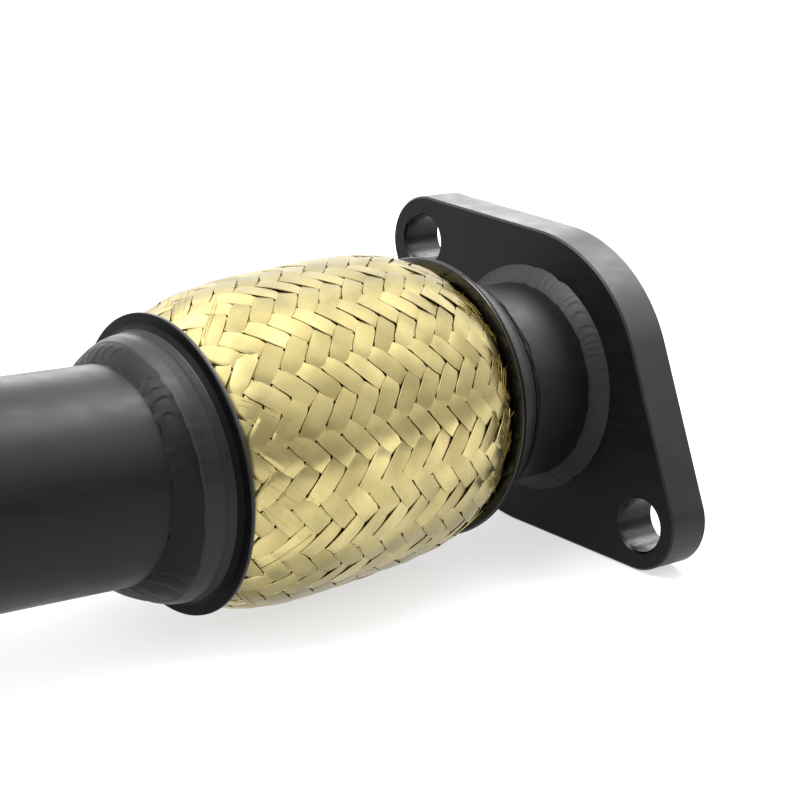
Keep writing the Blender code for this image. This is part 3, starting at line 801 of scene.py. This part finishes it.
def make_plate(name, place, node):
    """A flange plate with one finish on its faces, a lighter, glossier copy of it on its cut edge as a
    painted highlight, and one in its bolt holes.
    """
    made = piece(name, plate_mesh(name, place), plate_coat, node, sharp=20)
    made.data.materials.append(edge_highlight_coat)
    made.data.materials.append(hole_metal)
    middle = place(Vector())
    axis = place(UPWARD) - middle
    reach = place(Vector((BOLT_REACH, 0, 0))) - middle
    for face in made.data.polygons:
        if abs(face.normal.dot(axis)) < FLAT_FACE_COSINE:
            away = away_from_axis(face.center, middle, axis)
            from_hole = min((away - reach).length, (away + reach).length)
            face.material_index = 2 if from_hole < BOLT_HOLE_RADIUS + HOLE_MARGIN else 1


for side, place in flange_frames.items():
    make_plate(side + "_plate", place, side + "_flange")


# Weld beads

# Each bead lies over a root and between two toes, given as radius and height in the frame of its flange or
# collar. The crown is its rise, the ripple the rise of its scales, and the pitches their number. The toes
# wander, the unrest shifts the scales from their even pitch, and the bite is how far they jut out.
FLANGE_BEAD = {"outer_toe": (0.0298, -0.0001), "inner_toe": (0.02535, 0.0032), "root": (0.0255, -0.0001),
               "crown": 0.0001, "ripple": 0.00009, "pitches": 84, "wander": 0.0003, "unrest": 0.7,
               "bite": 0.00015}
ROOT_BEAD = {"outer_toe": (0.0257, -0.0117), "inner_toe": (0.0239, -0.0094), "root": (0.0257, -0.0094),
             "crown": 0.0002, "ripple": 0.00012, "pitches": 70, "wander": 0.00012, "unrest": 0.35,
             "bite": 0.00015}
NECK_COLLAR_BEAD = {"outer_toe": (0.0300, 0.0100), "inner_toe": (0.02535, 0.0146), "root": (0.0255, 0.0104),
                    "crown": 0.0007, "ripple": 0.00014, "pitches": 40, "wander": 0.0004, "unrest": 0.6,
                    "bite": 0.0003}
TUBE_COLLAR_BEAD = {"outer_toe": (0.0300, 0.0096), "inner_toe": (0.02535, 0.0167), "root": (0.0262, 0.0100),
                    "crown": 0.0004, "ripple": 0.00016, "pitches": 34, "wander": 0.0003, "unrest": 0.6,
                    "bite": 0.0001}
MITRE_REACH = 0.006
BEAD_SIDES = 720
BEAD_STEPS = 12
TOE_WAVES = range(9, 40, 3)
SWELL_WAVES = range(3, 17, 2)
UNREST_WAVES = range(2, 12)
RANDOM_PHASE = 6.28
SWELL = 0.25
# The shape of a scale: how far its toes lag, how it falls off, how steeply it starts and how it narrows
SCALE_LAG = 0.55
SCALE_FALL = 1.6
SCALE_START = 14
SCALE_BREADTH = 0.6


def uneven(angles, waves):
    """A smooth closed curve of random height round the pipe."""
    total = np.zeros_like(angles)
    for wave in waves:
        height = chance.normal(0, 1)
        total += height * np.sin(wave * angles + chance.uniform(0, RANDOM_PHASE)) / math.sqrt(len(waves))
    return total


def bead(name, place, node, surface, shape):
    """A laid weld bead: a crowned strip between two toes, with crescent scales where it was fed."""
    angles = round_angles(BEAD_SIDES)
    outer_wander = shape["wander"] * uneven(angles, TOE_WAVES)
    inner_wander = shape["wander"] * uneven(angles, TOE_WAVES)
    swell = 1 + SWELL * uneven(angles, SWELL_WAVES)
    phase = shape["pitches"] * angles / FULL_TURN + shape["unrest"] * uneven(angles, UNREST_WAVES)
    start, end, root = (np.array(shape[corner]) for corner in ("outer_toe", "inner_toe", "root"))
    along = (end - start) / np.linalg.norm(end - start)
    out = np.array([-along[1], along[0]])
    if out @ (start - root) < 0:
        out = -out
    rows = []
    for k in range(BEAD_STEPS + 1):
        v = k / BEAD_STEPS
        dome = 4 * v * (1 - v)
        beat = np.mod(phase + SCALE_LAG * (2 * v - 1) ** 2, 1.0)
        scale = (1 - beat ** SCALE_FALL) * np.minimum(1, SCALE_START * beat)
        rise = shape["crown"] * swell * dome + shape["ripple"] * scale * dome ** SCALE_BREADTH
        shifted = inner_wander * v - outer_wander * (1 - v) + shape["bite"] * (scale - 0.5) * (2 * v - 1)
        base = start[None] * (1 - v) + end[None] * v
        rows.append(base + along[None] * shifted[:, None] + out[None] * rise[:, None])
    rows.append(np.repeat(root[None], BEAD_SIDES, axis=0))
    rings = []
    for row in rows:
        spots = zip(row, angles)
        rings.append([place(Vector((r * math.cos(a), r * math.sin(a), z))) for (r, z), a in spots])
    piece(name, ring_mesh(name, rings), surface, node, sharp=60)


def mitred(point):
    """Carries a point from the second collar's frame over to the leaning tube's."""
    share = min(max((point.z - COLLAR_DEPTH) / MITRE_REACH, 0), 1)
    around = Vector((0, point.x, -point.y))
    from_collar = TUBE_COLLAR_PLACE + COLLAR_DIRECTION * point.z + COLLAR_TURN @ around
    from_tube = CROSSING_PLACE + TUBE_DIRECTION * (point.z - TUBE_CROSSING) + TUBE_TURN @ around
    return from_collar.lerp(from_tube, share)


for side, place in flange_frames.items():
    bead(side + "_flange_bead", place, side + "_flange_weld", ring_sheen_coat, FLANGE_BEAD)
for side, place in flange_frames.items():
    bead(side + "_root_bead", place, side + "_root_weld", weld_coat, ROOT_BEAD)
bead("neck_collar_bead", collar_frames["neck"], "neck_collar_weld", weld_coat, NECK_COLLAR_BEAD)
bead("tube_collar_bead", mitred, "tube_collar_weld", weld_coat, TUBE_COLLAR_BEAD)


# Sheet parts that keep their solid's shape

for name in ("neck_sleeve", "tube_sleeve", "flex_bellows", "flex_liner"):
    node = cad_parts[name]
    node.data.materials.clear()
    node.data.materials.append(stainless)


# Floor

FLOOR_HALF = 6
FLOOR_DROP = 0.0002
FLOOR_CORNERS = [(-FLOOR_HALF, -FLOOR_HALF, 0), (FLOOR_HALF, -FLOOR_HALF, 0),
                 (FLOOR_HALF, FLOOR_HALF, 0), (-FLOOR_HALF, FLOOR_HALF, 0)]
floor_mesh = mesh_of("floor", FLOOR_CORNERS, [(0, 1, 2, 3)])
floor_mesh.materials.append(make_floor_paint())
floor = bpy.data.objects.new("floor", floor_mesh)
floor.location.z = -FLOOR_DROP
bpy.context.scene.collection.objects.link(floor)


# Light

# Each glow is a bright part of the sky. It grows from nothing at the start to its strength at the end, and
# both are cosines of the angle from the glow's own direction.
GLOWS = (
    {"toward": (0, 0, 1), "start": -0.2, "end": 0.3, "strength": 0.30},
    {"toward": (0, 0.2, 1), "start": 0.45, "end": 1.0, "strength": 1.3},
    {"toward": (0.5, 0.8, 0.35), "start": 0.0, "end": 0.9, "strength": 1.35},
    {"toward": (-0.9, 0.35, 0.5), "start": 0.3, "end": 0.95, "strength": 1.5},
    {"toward": (0.6, -0.5, 0.6), "start": 0.65, "end": 1.0, "strength": 0.9},
    {"toward": (-0.5, -0.75, 0.3), "start": 0.3, "end": 1.0, "strength": 0.35},
)

# The name, place, target, size and power of each lamp for the coat
COAT_LAMPS = (
    ("back_box", (0.75, 0.02, 0.85), (0.05, -0.03, 0.04), (0.5, 0.5), 14.0),
    ("top_box", (-0.40, 0.08, 1.0), (0.05, -0.03, 0.03), (0.5, 1.0), 20.0),
    ("front_box", (0.83, -0.57, 0.70), (0.05, -0.03, 0.04), (0.5, 0.5), 4.0),
    ("wall_box", (0.95, 0.95, 0.46), (0.10, -0.03, 0.05), (1.2, 0.5), 8.0),
)


def glow(sky, direction, toward, start, end, strength):
    """Brightness that rises as the sky's direction nears the one given."""
    dot = sky.nodes.new("ShaderNodeVectorMath")
    dot.operation = "DOT_PRODUCT"
    dot.inputs[1].default_value = Vector(toward).normalized()
    sky.links.new(direction, dot.inputs[0])
    return ranged(sky, dot.outputs["Value"], start, end, 0.0, strength, ease="SMOOTHSTEP")


def make_world():
    """A white sky whose brightness is the sum of the glows."""
    world = bpy.data.worlds.new("studio")
    world.use_nodes = True
    sky = world.node_tree
    direction = sky.nodes.new("ShaderNodeTexCoord").outputs["Generated"]
    total = glow(sky, direction, **GLOWS[0])
    for shape in GLOWS[1:]:
        total = reckoned(sky, "ADD", total, glow(sky, direction, **shape))
    background = sky.nodes["Background"]
    background.inputs["Color"].default_value = (*grey(1), 1)
    sky.links.new(total, background.inputs["Strength"])
    return world


def soft_box(name, place, target, size, power, lit):
    """A rectangular lamp, with the collection that tells what it lights or spares."""
    light = bpy.data.lights.new(name, "AREA")
    light.shape = "RECTANGLE"
    light.size, light.size_y = size
    light.energy = power
    made = bpy.data.objects.new(name, light)
    made.location = place
    made.rotation_euler = (Vector(target) - Vector(place)).to_track_quat("-Z", "Y").to_euler()
    made.light_linking.receiver_collection = lit
    made.visible_camera = False
    bpy.context.scene.collection.objects.link(made)
    return made


bpy.context.scene.world = make_world()

# These four lamps draw highlights on the coat and spare the braid, which the sky and the floor light
spared = bpy.data.collections.new("spared_by_lamps")
for strips in braid_pieces:
    spared.objects.link(strips)
for member in spared.collection_objects:
    member.light_linking.link_state = "EXCLUDE"
for name, place, target, size, power in COAT_LAMPS:
    soft_box(name, place, target, size, power, lit=spared)

# This small lamp lights only the floor and throws no shadow, so that the floor under the tube stays pale
ground = bpy.data.collections.new("lit_ground")
ground.objects.link(floor)
floor_box = soft_box("floor_box", place=(0.00, -0.035, 0.055), target=(0.00, -0.035, 0), size=(0.02, 0.02),
                     power=0.026, lit=ground)
floor_box.light_linking.blocker_collection = ground


# Camera, at the photograph's angle

VIEW_DIRECTION = Vector((0.6528, 0.7004, -0.2884)).normalized()
PICTURE_RIGHT = Vector((0.744, -0.665, 0.068))
EYE = SHIFT + Vector((-0.4404, -0.4247, 0.1754 + AXIS_HEIGHT))
LENS = 109.35
SENSOR_WIDTH = 36
CLIP_START = 0.01
CLIP_END = 50


def make_camera():
    """The camera, turned so that the picture's right side lies as in the photograph."""
    right = (PICTURE_RIGHT - VIEW_DIRECTION * PICTURE_RIGHT.dot(VIEW_DIRECTION)).normalized()
    up = right.cross(VIEW_DIRECTION)
    data = bpy.data.cameras.new("camera")
    data.lens = LENS
    data.sensor_width = SENSOR_WIDTH
    data.clip_start = CLIP_START
    data.clip_end = CLIP_END
    camera = bpy.data.objects.new("camera", data)
    camera.rotation_euler = Matrix((right, up, -VIEW_DIRECTION)).transposed().to_euler()
    camera.location = EYE
    bpy.context.scene.collection.objects.link(camera)
    return camera


bpy.context.scene.camera = make_camera()
bpy.context.scene.view_settings.view_transform = "Standard"
